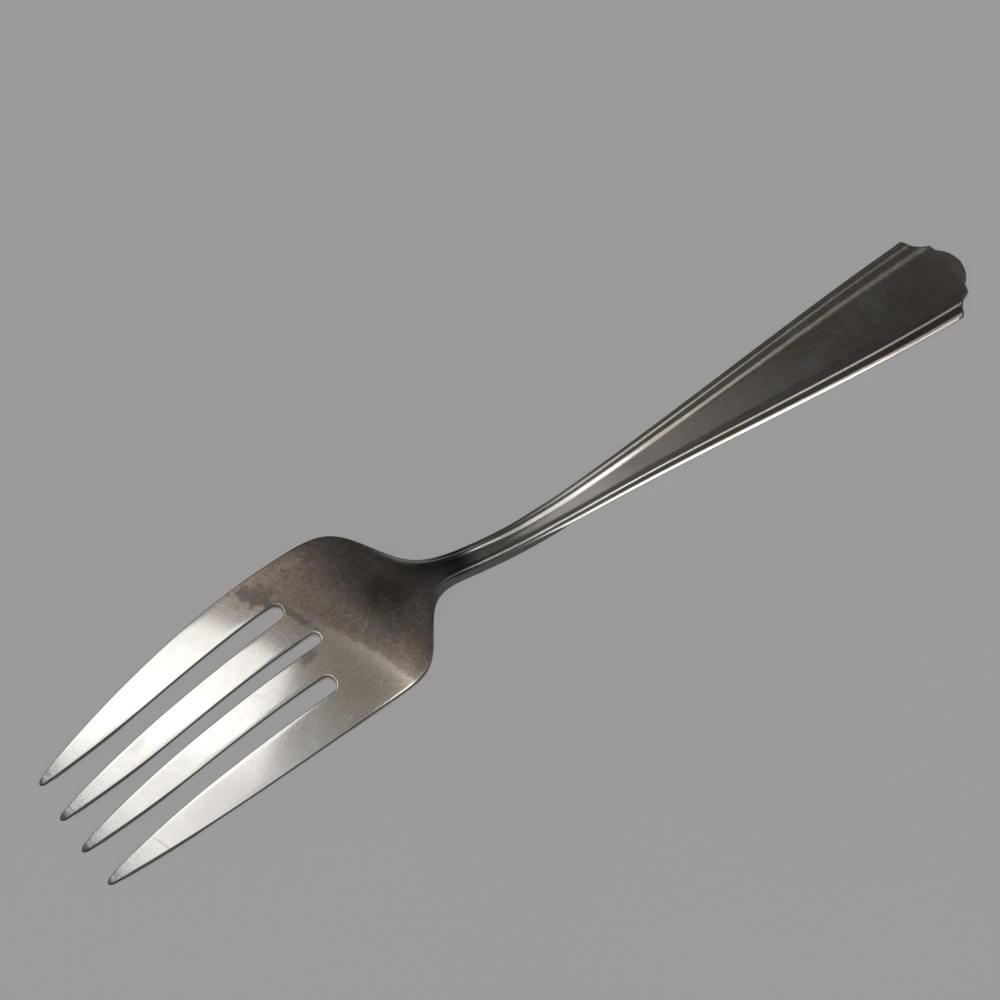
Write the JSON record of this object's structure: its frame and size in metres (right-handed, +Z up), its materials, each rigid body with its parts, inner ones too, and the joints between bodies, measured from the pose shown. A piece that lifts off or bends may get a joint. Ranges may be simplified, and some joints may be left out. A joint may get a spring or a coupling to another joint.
{
  "type": "salad fork",
  "caption": "Silver-plated table fork with tapered tines, an arched palm, a slim neck and a flaring handle with a threaded border and a lobed end, lying face down.",
  "frame": {"origin": "on the table, under the middle of the fork's length and width", "axes": "+X from the tine tips to the handle end, +Y across the fork, +Z up from the table to the back of the fork"},
  "size_m": [0.1576, 0.0266, 0.0155],
  "materials": {
    "nickel_silver": "worn satin nickel silver",
    "silver": "polished silver plate, scratched and lightly tarnished"
  },
  "bodies": {
    "root": {"core_blank": "nickel_silver", "head_plate": "silver", "handle_plate": "silver"}
  },
  "joints": []
}
